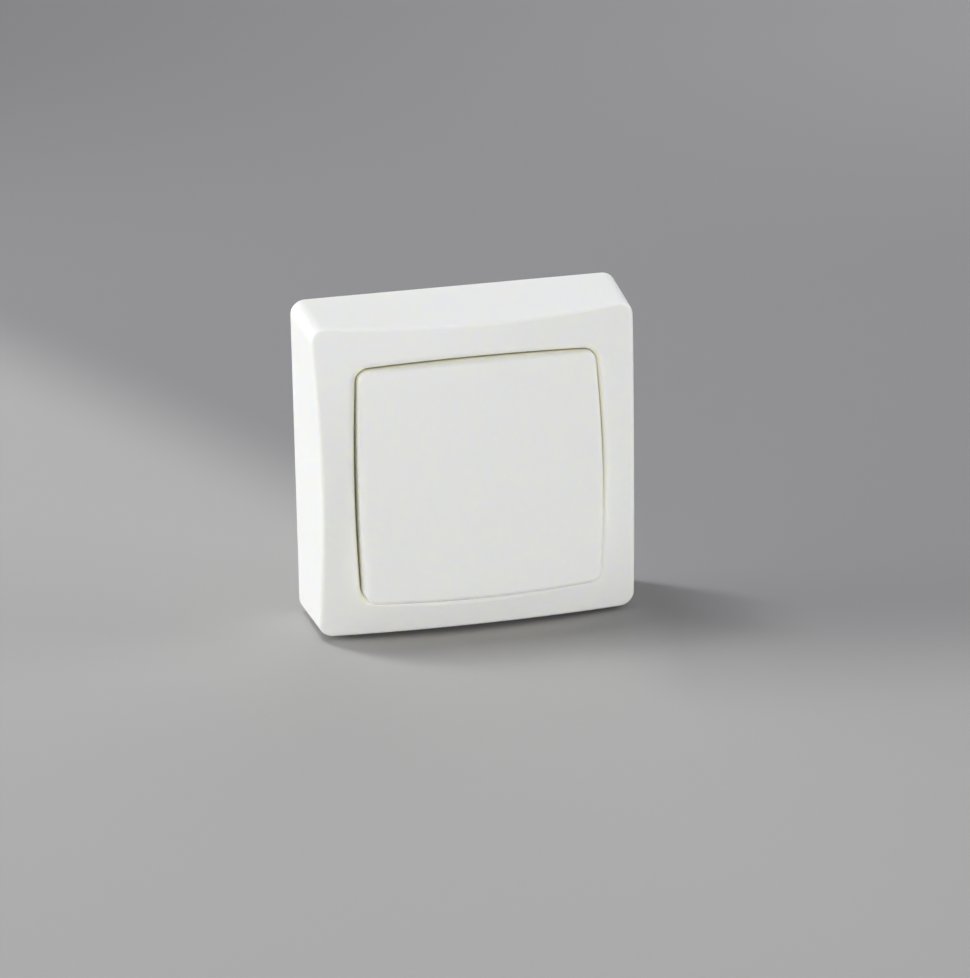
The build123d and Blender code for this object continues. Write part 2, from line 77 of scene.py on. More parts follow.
bl_info = {
    "name": "Surface-mounted light switch",
    "version": (1, 0, 0),
    "blender": (4, 5, 0),
    "location": "3D View > Sidebar > Light Switch",
    "description": "Builds the visible pieces and finishes of a surface-mounted light switch",
    "category": "Object",
}

MM = 0.001

# An edge where two faces turn by more than this stays sharp
SHARP_ANGLE = math.radians(32)
# How far the root of a leg reaches into the rocker's face
LEG_OVERLAP = 0.1 * MM
# Points round each corner of an outline
CORNER_STEPS = 15
# Steps across the rounded edges of the hood's front and the rocker's face
EDGE_STEPS = 10

hood_low, hood_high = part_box("cover_frame")
rocker_joint = next(joint for joint in frame["joints"] if joint["name"] == "rocker_tilt")
rocker_pivot = Vector(rocker_joint["pos_m"])
rocker_travel = math.radians(rocker_joint["range_deg"][1])


# Sizes, colours and the stage, as a user of the add-on changes them


def length_property(name, description, default):
    """A setting that is a length."""
    return FloatProperty(name=name, description=description, default=default, unit="LENGTH")


def colour_property(name, description, default):
    """A setting that is a colour."""
    return FloatVectorProperty(
        name=name, description=description, default=default, subtype="COLOR", min=0, max=1
    )


class SwitchHoodSettings(bpy.types.PropertyGroup):
    """Sizes of the hood."""

    width: length_property(
        "Width", "Width and height of the hood at the wall", hood_high.x - hood_low.x
    )
    corner_radius: length_property(
        "Corner Radius", "Radius of the upright corners at the wall", 3.8 * MM
    )
    draft: FloatProperty(
        name="Draft", description="Lean of the sides that lets the hood leave its mould",
        default=math.radians(2.2), subtype="ANGLE",
    )
    bow: length_property(
        "Bow", "How much further in the middle of each side lies at the crown", 1 * MM
    )
    wall: length_property("Wall", "Thickness of the sides", 2.2 * MM)
    edge_radius: length_property("Edge Radius", "Radius of the edge round the front", 1.3 * MM)
    crown: length_property(
        "Crown", "Distance from the wall to the top of the domed front", 29.8 * MM
    )
    front_radius: length_property("Front Radius", "Radius of the domed front", 200 * MM)
    opening: length_property("Opening", "Half of the opening's width at its middle", 32.6 * MM)
    opening_bulge: length_property(
        "Opening Bulge", "How far the sides of the opening bulge", 1.45 * MM
    )
    opening_corner: length_property("Opening Corner", "Radius of the opening's corners", 4 * MM)
    opening_edge: length_property("Opening Edge", "Radius of the edge round the opening", 1.6 * MM)
    collar_wall: length_property(
        "Collar Wall", "Thickness of the collar behind the opening", 1.5 * MM
    )
    collar_length: length_property(
        "Collar Length", "How far the collar reaches behind the pivot", 4.5 * MM
    )
    knockout_width: length_property("Knock-out Width", "Width of the cable knock-outs", 16 * MM)
    knockout_height: length_property(
        "Knock-out Height", "Height of the cable knock-outs above the wall", 12 * MM
    )
    knockout_groove: length_property(
        "Knock-out Groove", "Width of the groove round a knock-out", 0.8 * MM
    )
    knockout_skin: length_property("Knock-out Skin", "Wall that is left under the groove", 1 * MM)
    hook_length: length_property(
        "Hook Length", "Length of a ledge that hooks over the base plate", 10 * MM
    )
    hook_offset: length_property(
        "Hook Offset", "Distance of a ledge from the middle of its side", 22 * MM
    )
    hook_reach: length_property("Hook Reach", "How far a ledge stands out of the side", 1.1 * MM)
    hook_back: length_property("Hook Back", "Distance from the wall to the ledges", 6.7 * MM)
    hook_height: length_property("Hook Height", "Thickness of a ledge", 1.4 * MM)


class SwitchRockerSettings(bpy.types.PropertyGroup):
    """Sizes of the rocker."""

    half_width: length_property(
        "Half Width", "Half of the rocker's width at its middle", 32.05 * MM
    )
    half_height: length_property(
        "Half Height", "Half of the rocker's height at its middle", 32.1 * MM
    )
    bulge: length_property("Bulge", "How far the sides of the rocker bulge", 1.05 * MM)
    corner: length_property("Corner", "Radius of the rocker's corners", 3.2 * MM)
    face_radius: length_property("Face Radius", "Radius of the slightly domed face", 520 * MM)
    face_rise: length_property("Face Rise", "Height of the face above the pivot", 5.8 * MM)
    skirt: length_property("Skirt", "How far the sides reach behind the pivot", 4 * MM)
    wall: length_property("Wall", "Thickness of the rocker", 2 * MM)
    edge_radius: length_property("Edge Radius", "Radius of the edge round the face", 1.8 * MM)
    leg_width: length_property("Leg Width", "Width of a leg that snaps into the cradle", 3.6 * MM)
    leg_thickness: length_property("Leg Thickness", "Thickness of a leg", 1.5 * MM)
    leg_side: length_property("Leg Side", "Distance of a leg from the middle, sideways", 8 * MM)
    leg_up: length_property("Leg Up", "Distance of a leg from the middle, upwards", 8.2 * MM)
    leg_back: length_property("Leg Back", "How far a leg reaches behind the pivot", 0.5 * MM)
    leg_barb: length_property("Leg Barb", "How far the barb of a leg stands out", 0.4 * MM)
    leg_barb_height: length_property("Leg Barb Height", "Height of the barb of a leg", 1 * MM)


class SwitchSpringSettings(bpy.types.PropertyGroup):
    """Sizes of the spring behind the plunger."""

    turns: FloatProperty(name="Turns", description="Turns of the spring", default=4.5)
    wire_radius: length_property("Wire Radius", "Radius of the wire", 0.28 * MM)
    coil_radius: length_property(
        "Coil Radius", "Radius of the turns at the middle of the wire", 1.62 * MM
    )
    back: length_property(
        "Back", "Where the wire starts on the plunger, in front of the pivot", -6.35 * MM
    )
    front: length_property(
        "Front", "Where the wire ends on the cradle, in front of the pivot", 0.22 * MM
    )
    travel: length_property("Travel", "How much shorter the plunger pushes the spring", 1.2 * MM)


class SwitchFinishSettings(bpy.types.PropertyGroup):
    """Colours and surface textures."""

    white: colour_property("White", "Colour of the hood and the rocker", (0.94, 0.93, 0.88))
    white_shade: colour_property(
        "White Shade", "Slightly different tone that the white drifts to", (0.93, 0.918, 0.866)
    )
    # Painted shade: a darker, warmer white painted inside the gap round the rocker, and how far it reaches, in
    # place of the shade and warm bounce light there
    painted_gap_shade: colour_property(
        "Gap Tone", "Warmer white inside the gap round the rocker", (0.93, 0.905, 0.76)
    )
    painted_gap_shade_reach: length_property(
        "Gap Reach", "How far the warmer white reaches from the gap's middle", 1.3 * MM
    )
    roughness: FloatProperty(
        name="Roughness", description="Roughness of the white plastic", default=0.42,
    )
    glow_depth: length_property(
        "Glow Depth", "How far light travels inside the white plastic", 1 * MM
    )
    grain_size: length_property("Grain Size", "Size of the moulded grain", 0.25 * MM)
    grain_depth: length_property("Grain Depth", "Depth of the moulded grain", 0.004 * MM)


class SwitchStageSettings(bpy.types.PropertyGroup):
    """Floor, lamps and camera."""

    floor_size: length_property("Floor Size", "Length of each side of the floor", 9)
    # Painted light: the near floor colour is lighter, as a pool of lamp light, and the far one darker, as the
    # shade where that light ends
    floor_colour: colour_property(
        "Floor Colour", "Colour of the floor near the switch", (0.473, 0.468, 0.452)
    )
    floor_far_colour: colour_property(
        "Far Floor Colour", "Colour of the floor far behind the switch", (0.309, 0.304, 0.305)
    )
    floor_edge: length_property(
        "Floor Edge",
        "Depth at which the floor goes over into its far colour, on the right",
        -43 * MM,
    )
    floor_edge_bend: length_property(
        "Floor Edge Bend", "Place across the picture left of which that depth grows", 57 * MM
    )
    floor_edge_slope: FloatProperty(
        name="Floor Edge Slope", description="Growth of that depth with the way to the left",
        default=1.25,
    )
    floor_edge_width: length_property(
        "Floor Edge Width", "Width of the soft change between the floor's colours", 85 * MM
    )
    # Painted light: a brightening of the far floor towards the right
    painted_floor_brightening: FloatProperty(
        name="Floor Drift", description="How much lighter the far floor gets per metre to the right",
        default=1.0,
    )
    light_colour: colour_property(
        "Light Colour", "Colour of the lamps and of the sky", (0.955, 0.965, 1)
    )
    sky_strength: FloatProperty(
        name="Sky", description="Strength of the even light from all sides", default=0.23,
    )
    azimuth: FloatProperty(
        name="Azimuth", description="Turn of the camera round the switch",
        default=math.radians(-13.0928), subtype="ANGLE",
    )
    elevation: FloatProperty(
        name="Elevation", description="Height of the camera above the horizon",
        default=math.radians(21.1264), subtype="ANGLE",
    )
    roll: FloatProperty(
        name="Roll", description="Turn of the camera about its own axis",
        default=math.radians(-0.928), subtype="ANGLE",
    )
    distance: length_property("Distance", "Distance of the camera", 1224.77 * MM)
    offset_right: length_property("Offset Right", "Shift of the camera to its right", 7.38 * MM)
    offset_up: length_property("Offset Up", "Shift of the camera upwards", -12.2 * MM)
    lens: FloatProperty(
        name="Lens", description="Focal length in millimetres", default=172.855,
    )


# Shapes: outlines round the switch and the surfaces carried along them


def eased(count):
    """Numbers from 0 to 1 that lie closer together at both ends, as half a cosine wave gives them."""
    return (1 - np.cos(np.linspace(0, np.pi, count + 1))) / 2


def square_outline(half, side_places):
    """The core of a rounded square: points on a sharp square, and the directions outwards there.

    Adding a radius times the direction to each point gives the rounded square. Each side has a
    point at each of side_places, which run from 0 to 1, and then the corner keeps the square's
    corner while its direction turns by a quarter.
    """
    along = half * (2 * side_places - 1)
    side = np.stack([np.full_like(along, half), along], axis=1)
    side_out = np.stack([np.ones_like(along), np.zeros_like(along)], axis=1)
    angles = np.linspace(0, np.pi / 2, CORNER_STEPS + 2)[1:-1]
    corner = np.full((CORNER_STEPS, 2), half)
    corner_out = np.stack([np.cos(angles), np.sin(angles)], axis=1)
    quarter = np.concatenate([side, corner])
    quarter_out = np.concatenate([side_out, corner_out])
    turn = np.array([[0, 1], [-1, 0]])
    turns = [np.linalg.matrix_power(turn, count) for count in range(4)]
    points = np.concatenate([quarter @ matrix for matrix in turns])
    outwards = np.concatenate([quarter_out @ matrix for matrix in turns])
    return points, outwards


def bulged_outline(half_width, half_height, bulge, radius, side_places):
    """A square with bulged sides: points and the directions outwards, in the order of square_outline.

    Each side is an arc that stands out by the bulge, or dips in where that is below zero. The
    corner's arc has its centre where the circles about both sides' centres, smaller by the
    corner's radius, cross near the middle of the square.
    """
    sign = math.copysign(1, bulge)
    side_radius = ((half_height - bulge) ** 2 + bulge**2) / (2 * bulge)
    top_radius = ((half_width - bulge) ** 2 + bulge**2) / (2 * bulge)
    side_centre = np.array([half_width - side_radius, 0])
    top_centre = np.array([0, half_height - top_radius])
    to_top = top_centre - side_centre
    apart = np.linalg.norm(to_top)
    inner_side = side_radius - radius
    inner_top = top_radius - radius
    along = (inner_side**2 - inner_top**2 + apart**2) / (2 * apart)
    across = math.sqrt(inner_side**2 - along**2)
    direction = to_top / apart
    sideways = across * np.array([direction[1], -direction[0]])
    crossings = [side_centre + along * direction + sideways, side_centre + along * direction - sideways]
    corner_centre = min(crossings, key=np.linalg.norm)
    first = math.atan2(sign * corner_centre[1], sign * (corner_centre[0] - side_centre[0]))
    last = math.atan2(sign * (corner_centre[1] - top_centre[1]), sign * corner_centre[0])
    corner_places = np.linspace(0, 1, CORNER_STEPS + 2)[1:-1]
    mirrored_corner = corner_centre * np.array([-1, 1])
    arcs = (
        (side_centre, side_radius, -first + 2 * first * side_places),
        (corner_centre, radius, first + (last - first) * corner_places),
        (top_centre, top_radius, last + (np.pi - 2 * last) * side_places),
        (mirrored_corner, radius, np.pi - last + (last - first) * corner_places),
    )
    spokes = [np.stack([np.cos(angles), np.sin(angles)], axis=1) for _, _, angles in arcs]
    points = np.concatenate([centre + size * spoke for (centre, size, _), spoke in zip(arcs, spokes)])
    outwards = np.concatenate(spokes)
    return np.concatenate([points, -points]), np.concatenate([outwards, -outwards])


def lift(flat, height):
    """Points in space from points of an outline and their heights above the outline's plane."""
    return np.column_stack([flat, np.broadcast_to(height, len(flat))])


def dome_height(flat, centre_height, radius):
    """Height of a ball's front above each point: by Pythagoras from its radius and its distance."""
    return centre_height + np.sqrt(radius**2 - (flat**2).sum(axis=1))


def unit(vectors):
    """The directions of the vectors, each with a length of one."""
    return vectors / np.linalg.norm(vectors, axis=1)[:, None]


def out_of_dome(points, centre_height):
    """The directions square to a dome at the points: straight away from the dome's centre."""
    return unit(points - np.array([0, 0, centre_height]))


def rounded(centres, radius, first, last, steps):
    """Rings of an arc about the centres, from the first directions to the last ones.

    Each point turns evenly from one direction to the other, by the formula of a turn along a
    great circle.
    """
    angle = np.arccos(np.clip((first * last).sum(axis=1), -1, 1))[:, None]
    places = np.linspace(0, 1, steps + 1)
    return [
        centres
        + radius * (np.sin((1 - place) * angle) * first + np.sin(place * angle) * last) / np.sin(angle)
        for place in places
    ]


def between(first, last, places):
    """Rings on the straight lines from the first ring to the last one, without these two."""
    return [first + (last - first) * place for place in places[1:-1]]


def across_dome(first, last, centre_height, radius, places):
    """Rings between two rings on a dome: straight in the outline's plane, at the dome's height."""
    flats = between(first[:, :2], last[:, :2], places)
    return [lift(flat, dome_height(flat, centre_height, radius)) for flat in flats]


def meeting(start, lean, centre_height, dome_radius):
    """Where straight lines up from an outline meet a dome.

    At a height a line lies at start + lean * height. Its distance from the dome's centre equals
    the dome's radius, which gives a quadratic equation for the height.
    """
    a = (lean**2).sum(axis=1) + 1
    b = 2 * ((start * lean).sum(axis=1) - centre_height)
    c = (start**2).sum(axis=1) + centre_height**2 - dome_radius**2
    height = (-b + np.sqrt(b**2 - 4 * a * c)) / (2 * a)
    return lift(start + lean * height[:, None], height)


def surface(rings, closed, place):
    """Points and faces from rings of points, each joined to the next and round itself.

    A closed surface joins its last ring to the first. Otherwise a point in the middle of the first
    ring and one in the middle of the last close it. The place turns the points into the switch's
    frame, and all faces look outwards, because the volume that they enclose is made positive.
    """
    grid = np.stack(rings)
    count, around = grid.shape[:2]
    points = grid.reshape(-1, 3)
    ring = np.arange(count if closed else count - 1)[:, None] * around
    following = (ring + around) % (count * around)
    step = np.arange(around)[None, :]
    beside = (step + 1) % around
    quads = np.stack([ring + step, ring + beside, following + beside, following + step], axis=-1)
    quads = quads.reshape(-1, 4)
    fans = np.zeros((0, 3), int)
    if not closed:
        middle = np.full(around, count * around)
        last = (count - 1) * around
        points = np.concatenate([points, [grid[0].mean(axis=0)], [grid[-1].mean(axis=0)]])
        first_fan = np.stack([beside[0], step[0], middle], axis=-1)
        last_fan = np.stack([last + step[0], last + beside[0], middle + 1], axis=-1)
        fans = np.concatenate([first_fan, last_fan])
    corners = place(points)
    halves = np.concatenate([quads[:, [0, 1, 2]], quads[:, [0, 2, 3]], fans])
    a, b, c = (corners[halves[:, index]] for index in range(3))
    if (a * np.cross(b, c)).sum() < 0:
        quads = quads[:, ::-1]
        fans = fans[:, ::-1]
    return corners, quads.tolist() + fans.tolist()


def add_piece(name, surfaces):
    """One object with smooth faces from the points and faces of one surface or several."""
    corners = np.concatenate([points for points, _ in surfaces])
    faces = []
    first = 0
    for points, own_faces in surfaces:
        faces += [[first + corner for corner in face] for face in own_faces]
        first += len(points)
    mesh = bpy.data.meshes.new(name)
    mesh.from_pydata(corners.tolist(), [], faces)
    mesh.validate()
    mesh.shade_smooth()
    mesh.set_sharp_from_angle(angle=SHARP_ANGLE)
    obj = bpy.data.objects.new(name, mesh)
    bpy.context.scene.collection.objects.link(obj)
    return obj


def from_wall(points):
    """Points given as right, up and distance out from the wall, in the switch's frame."""
    return np.column_stack([points[:, 0], -points[:, 2], points[:, 1]])


def from_rocker(points):
    """Points given along the rocker's right, its length and out of its face, in the switch's frame.

    The rocker stands tilted about its pivot by half of its travel, with its lower edge out.
    """
    tilt = rocker_travel / 2
    up = np.array([0, math.sin(tilt), math.cos(tilt)])
    out = np.array([0, -math.cos(tilt), math.sin(tilt)])
    right = np.array([1, 0, 0])
    return np.array(rocker_pivot) + points @ np.stack([right, up, out])


def edge_lines(edges, width):
    """Two lines close beside each edge, so that a step at the edge is steep."""
    return np.concatenate([edges - width, edges + width])


def hood_rings(hood):
    """Rings of the hood, from the wall up the outside, over the front and back down the inside."""
    slope = math.tan(hood.draft)
    middle_slope = slope + hood.bow / hood.crown
    half = hood.width / 2
    dome_centre = hood.crown - hood.front_radius
    dome_inside = hood.front_radius - hood.wall
    inner_radius = hood.corner_radius - hood.wall / 2
    inner_core = half - hood.wall - inner_radius

    # How finely the faces are divided
    step = 0.01 * MM
    even_lines = 27
    rim_steps = 8
    outside_places = eased(8)
    front_places = eased(22)
    opening_places = eased(4)
    collar_places = eased(3)
    ceiling_places = eased(6)
    plain_heights = [0, 2.5 * MM, 16 * MM, 20 * MM]

    # Lines across the sides: evenly spaced ones, and two at each edge of a groove or ledge
    groove_in = hood.knockout_width / 2 - hood.knockout_groove
    hook_ends = hood.hook_offset + np.array([-0.5, 0.5]) * hood.hook_length
    edges = np.concatenate([[hood.knockout_width / 2, groove_in], hook_ends])
    lines = edge_lines(np.concatenate([edges, -edges]), step)
    places = np.sort(np.concatenate([np.linspace(0, 1, even_lines), (lines / inner_core + 1) / 2]))

    # Straight lines from the outline at the wall to the bowed one at the height of the crown
    core, foot_out = square_outline(half - hood.corner_radius, places)
    foot = core + hood.corner_radius * foot_out
    front_half = half - hood.crown * middle_slope
    front, front_out = bulged_outline(front_half, front_half, -hood.bow, hood.corner_radius, places)
    inward = ((foot - front) * foot_out).sum(axis=1)[:, None] / hood.crown
    flare = np.sqrt(1 + inward**2)

    # The rounded edge round the front, as a ball rolls along both faces from inside
    ball_foot = foot - hood.edge_radius * flare * foot_out
    ball_front = front - hood.edge_radius * flare * front_out
    balls = meeting(
        ball_foot,
        (ball_front - ball_foot) / hood.crown,
        dome_centre,
        hood.front_radius - hood.edge_radius,
    )
    turned_out = unit(foot_out + (front_out - foot_out) * balls[:, 2:] / hood.crown)
    side_out = np.column_stack([turned_out, inward]) / flare
    edge = rounded(balls, hood.edge_radius, side_out, out_of_dome(balls, dome_centre), EDGE_STEPS)

    # The opening's edge, with the ball inside the front again
    opening, opening_out = bulged_outline(
        hood.opening, hood.opening, hood.opening_bulge, hood.opening_corner, places
    )
    rim_flat = opening + hood.opening_edge * opening_out
    rim_height = dome_height(rim_flat, dome_centre, hood.front_radius - hood.opening_edge)
    rim_balls = lift(rim_flat, rim_height)
    rim_up = out_of_dome(rim_balls, dome_centre)
    rim = rounded(rim_balls, hood.opening_edge, rim_up, lift(-opening_out, 0), rim_steps)

    # The collar behind the opening
    collar_back = -rocker_pivot.y - hood.collar_length
    collar_half = hood.opening + hood.collar_wall
    collar_corner = hood.opening_corner + hood.collar_wall
    collar_flat, _ = bulged_outline(collar_half, collar_half, hood.opening_bulge, collar_corner, places)
    collar_inside = lift(opening, collar_back)
    collar_outside = lift(collar_flat, collar_back)
    collar_top = lift(collar_flat, dome_height(collar_flat, dome_centre, dome_inside))

    # The inner side, with grooves round the knock-outs and ledges that hook over the base plate
    inside_core, inside_out = square_outline(inner_core, places)
    inside_foot = inside_core + inner_radius * inside_out
    bowed = np.concatenate([1 - (2 * places - 1) ** 2, np.zeros(CORNER_STEPS)])
    inside_lean = -(slope + (middle_slope - slope) * np.tile(bowed, 4))[:, None] * inside_out
    inside_top = meeting(inside_foot, inside_lean, dome_centre, dome_inside)
    groove_back = hood.knockout_height - hood.knockout_groove
    hook_front = hood.hook_back + hood.hook_height
    levels = np.array([hood.hook_back, hook_front, groove_back, hood.knockout_height])
    heights = np.sort(np.concatenate([plain_heights, edge_lines(levels, step)]))[::-1]
    side_rings = []
    for height in heights:
        ring = lift(inside_foot + inside_lean * height, height)
        for axis in (0, 1):
            ring = with_relief(ring, axis, hood, height, half, middle_slope)
        side_rings.append(ring)

    wall_ring = lift(foot, 0)
    rings = [wall_ring, *between(wall_ring, edge[0], outside_places), *edge]
    rings += across_dome(edge[-1], rim[0], dome_centre, hood.front_radius, front_places)
    rings += [*rim, *between(rim[-1], collar_inside, opening_places), collar_inside, collar_outside]
    rings += [*between(collar_outside, collar_top, collar_places), collar_top]
    rings += across_dome(collar_top, inside_top, dome_centre, dome_inside, ceiling_places)
    return rings + [inside_top, *side_rings]


def with_relief(ring, axis, hood, height, half, slope):
    """A ring of the inner side with its grooves cut and its ledges raised.

    Where a point of the two sides across the axis lies in a groove it moves out to the skin that
    is left, and where it lies in a ledge it moves in to the ledge's edge. The grooves are only
    above and below.
    """
    across = ring[:, axis]
    along = np.abs(ring[:, 1 - axis])
    side_band = 4 * hood.wall
    at_side = np.abs(across) > half - side_band
    in_hook = (
        at_side
        & (np.abs(along - hood.hook_offset) <= hood.hook_length / 2)
        & (hood.hook_back <= height <= hood.hook_back + hood.hook_height)
    )
    hook_edge = half - hood.wall - hood.hook_back * slope - hood.hook_reach
    moved = ring.copy()
    moved[:, axis] = np.where(in_hook, np.sign(across) * hook_edge, across)
    if axis == 1 and height <= hood.knockout_height:
        in_bar = height >= hood.knockout_height - hood.knockout_groove
        inner_edge = hood.knockout_width / 2 - hood.knockout_groove
        in_groove = at_side & (along <= hood.knockout_width / 2) & (in_bar | (along >= inner_edge))
        groove_edge = half - hood.knockout_height * slope - hood.knockout_skin
        moved[:, axis] = np.where(in_groove, np.sign(across) * groove_edge, moved[:, axis])
    return moved


def rocker_rings(rocker):
    """Rings of the rocker, from the middle of its face over the edge and back up its inside."""
    side_lines = 41
    face_steps = 20
    skirt_places = eased(4)
    places = np.linspace(0, 1, side_lines)
    dome_centre = rocker.face_rise - rocker.face_radius
    outline, outwards = bulged_outline(
        rocker.half_width, rocker.half_height, rocker.bulge, rocker.corner, places
    )
    ball_flat = outline - rocker.edge_radius * outwards
    ball_height = dome_height(ball_flat, dome_centre, rocker.face_radius - rocker.edge_radius)
    balls = lift(ball_flat, ball_height)
    dome_out = out_of_dome(balls, dome_centre)
    edge = rounded(balls, rocker.edge_radius, dome_out, lift(outwards, 0), EDGE_STEPS)
    inside, _ = bulged_outline(
        rocker.half_width - rocker.wall,
        rocker.half_height - rocker.wall,
        rocker.bulge,
        rocker.corner - rocker.wall / 2,
        places,
    )
    dome_inside = rocker.face_radius - rocker.wall
    skirt_outside = lift(outline, -rocker.skirt)
    skirt_inside = lift(inside, -rocker.skirt)
    inside_top = lift(inside, dome_height(inside, dome_centre, dome_inside))
    shares = np.linspace(0, 1, face_steps + 1)[1:]
    face_flats = [edge[0][:, :2] * share for share in shares[:-1]]
    face = [lift(flat, dome_height(flat, dome_centre, rocker.face_radius)) for flat in face_flats]
    ceiling_flats = [inside * share for share in shares[-2::-1]]
    ceiling = [lift(flat, dome_height(flat, dome_centre, dome_inside)) for flat in ceiling_flats]
    outer_skirt = between(edge[-1], skirt_outside, skirt_places)
    inner_skirt = between(skirt_inside, inside_top, skirt_places)
    rings = [*face, *edge, *outer_skirt, skirt_outside, skirt_inside]
    return rings + [*inner_skirt, inside_top, *ceiling]


def leg_rings(rocker, side, up):
    """Rings of one leg of the rocker: its section with the barb, carried across its width."""
    root = rocker.face_rise - rocker.wall + LEG_OVERLAP
    inner = rocker.leg_side - rocker.leg_thickness / 2
    outer = rocker.leg_side + rocker.leg_thickness / 2
    barb_top = rocker.leg_barb_height - rocker.leg_back
    section = np.array(
        [
            (inner, root),
            (outer, root),
            (outer, barb_top),
            (outer + rocker.leg_barb, barb_top),
            (outer, -rocker.leg_back),
            (inner, -rocker.leg_back),
        ]
    )
    return [
        np.column_stack([side * section[:, 0], np.full(len(section), place), section[:, 1]])
        for place in (up - rocker.leg_width / 2, up + rocker.leg_width / 2)
    ]


def spring_rings(spring):
    """Rings of the wire along a helix about the line out of the rocker's middle.

    Each ring stands square to the wire. The height rises evenly with the angle, and a ring's
    points go round from the spoke, which points away from the line, to the upright.
    """
    rings_in_turn = 32
    points_in_ring = 12
    turns = np.linspace(0, spring.turns, round(spring.turns * rings_in_turn) + 1)
    angle = 2 * np.pi * turns
    height = spring.back + (spring.front - spring.back) * turns / spring.turns
    spoke = np.column_stack([np.cos(angle), np.sin(angle), np.zeros(len(angle))])
    rise = (spring.front - spring.back) / (2 * np.pi * spring.turns)
    across = np.column_stack([-spoke[:, 1], spoke[:, 0], np.zeros(len(angle))])
    upright = unit(np.array([0, 0, spring.coil_radius]) - rise * across)
    middle = spring.coil_radius * spoke + height[:, None] * np.array([0, 0, 1])
    lines = [
        middle + spring.wire_radius * (math.cos(turn) * spoke + math.sin(turn) * upright)
        for turn in np.linspace(0, 2 * np.pi, points_in_ring, endpoint=False)
    ]
    return list(np.stack(lines, axis=1))


# Finishes


def node_group(name, inputs, outputs):
    """An empty shader node group with its sockets, and its input and output nodes."""
    group = bpy.data.node_groups.new(name, "ShaderNodeTree")
    for socket, kind, value in inputs:
        made = group.interface.new_socket(name=socket, in_out="INPUT", socket_type=kind)
        made.default_value = value
    for socket, kind in outputs:
        group.interface.new_socket(name=socket, in_out="OUTPUT", socket_type=kind)
    return group, group.nodes.new("NodeGroupInput"), group.nodes.new("NodeGroupOutput")


def noise(tree, vector, scale, detail):
    """A noise texture in a node tree. The scale is a number or a socket."""
    texture = tree.nodes.new("ShaderNodeTexNoise")
    texture.inputs["Detail"].default_value = detail
    tree.links.new(vector, texture.inputs["Vector"])
    if isinstance(scale, (int, float)):
        texture.inputs["Scale"].default_value = scale
    else:
        tree.links.new(scale, texture.inputs["Scale"])
    return texture.outputs["Fac"]


def math_node(tree, operation, first, second=0):
    """A maths node in a node tree. Each operand is a number or a socket."""
    node = tree.nodes.new("ShaderNodeMath")
    node.operation = operation
    for place, operand in enumerate((first, second)):
        if isinstance(operand, (int, float)):
            node.inputs[place].default_value = operand
        else:
            tree.links.new(operand, node.inputs[place])
    return node.outputs["Value"]


def eased_range(tree, value, first, last):
    """A smooth rise from 0 at the first value to 1 at the last one, in a node tree."""
    node = tree.nodes.new("ShaderNodeMapRange")
    node.interpolation_type = "SMOOTHSTEP"
    node.inputs["From Min"].default_value = first
    node.inputs["From Max"].default_value = last
    tree.links.new(value, node.inputs["Value"])
    return node.outputs["Result"]


def separated(tree, vector):
    """The three coordinates of a vector, in a node tree."""
    node = tree.nodes.new("ShaderNodeSeparateXYZ")
    tree.links.new(vector, node.inputs["Vector"])
    return [node.outputs[axis] for axis in "XYZ"]


def mixed(tree, share, first, second):
    """A mix of two colours in a node tree. Each is a colour or a socket."""
    node = tree.nodes.new("ShaderNodeMix")
    node.data_type = "RGBA"
    tree.links.new(share, node.inputs["Factor"])
    for socket, colour in (("A", first), ("B", second)):
        target = next(s for s in node.inputs if s.name == socket and s.type == "RGBA")
        if isinstance(colour, bpy.types.NodeSocket):
            tree.links.new(colour, target)
        else:
            target.default_value = (*colour, 1)
    return next(s for s in node.outputs if s.type == "RGBA")


def make_grain_group():
    """Moulded grain: a height from two sizes of noise, and a roughness that drifts with them."""
    group, start, end = node_group(
        "Moulded Grain",
        (
            ("Vector", "NodeSocketVector", (0, 0, 0)),
            ("Grains per Metre", "NodeSocketFloat", 4000.0),
            ("Roughness", "NodeSocketFloat", 0.4),
            ("Spread", "NodeSocketFloat", 0.04),
        ),
        (("Height", "NodeSocketFloat"), ("Roughness", "NodeSocketFloat")),
    )
    waves_per_metre = 90
    wave_height = 0.35
    fine = noise(group, start.outputs["Vector"], start.outputs["Grains per Metre"], detail=2)
    slow = noise(group, start.outputs["Vector"], waves_per_metre, detail=3)
    wave = math_node(group, "MULTIPLY", slow, wave_height)
    group.links.new(math_node(group, "ADD", fine, wave), end.inputs["Height"])
    drift = math_node(group, "SUBTRACT", slow, 0.5)
    change = math_node(group, "MULTIPLY", drift, start.outputs["Spread"])
    total = math_node(group, "ADD", change, start.outputs["Roughness"])
    group.links.new(total, end.inputs["Roughness"])
    return group


def make_drift_group():
    """Colour drift: one colour goes over into another in soft wide patches."""
    group, start, end = node_group(
        "Colour Drift",
        (
            ("Vector", "NodeSocketVector", (0, 0, 0)),
            ("Colour", "NodeSocketColor", (1, 1, 1, 1)),
            ("Shade", "NodeSocketColor", (1, 1, 1, 1)),
            ("Patches per Metre", "NodeSocketFloat", 30.0),
        ),
        (("Colour", "NodeSocketColor"),),
    )
    patches = noise(group, start.outputs["Vector"], start.outputs["Patches per Metre"], detail=3)
    colour = mixed(group, patches, start.outputs["Colour"], start.outputs["Shade"])
    group.links.new(colour, end.inputs["Colour"])
    return group


def shader_of(material):
    """The shader that a material ends in."""
    return next(node for node in material.node_tree.nodes if node.type == "BSDF_PRINCIPLED")


def material_base(name):
    """A new material, with its tree, its shader and its object coordinates."""
    material = bpy.data.materials.new(name)
    material.use_nodes = True
    tree = material.node_tree
    coordinates = tree.nodes.new("ShaderNodeTexCoord").outputs["Object"]
    return material, tree, shader_of(material), coordinates


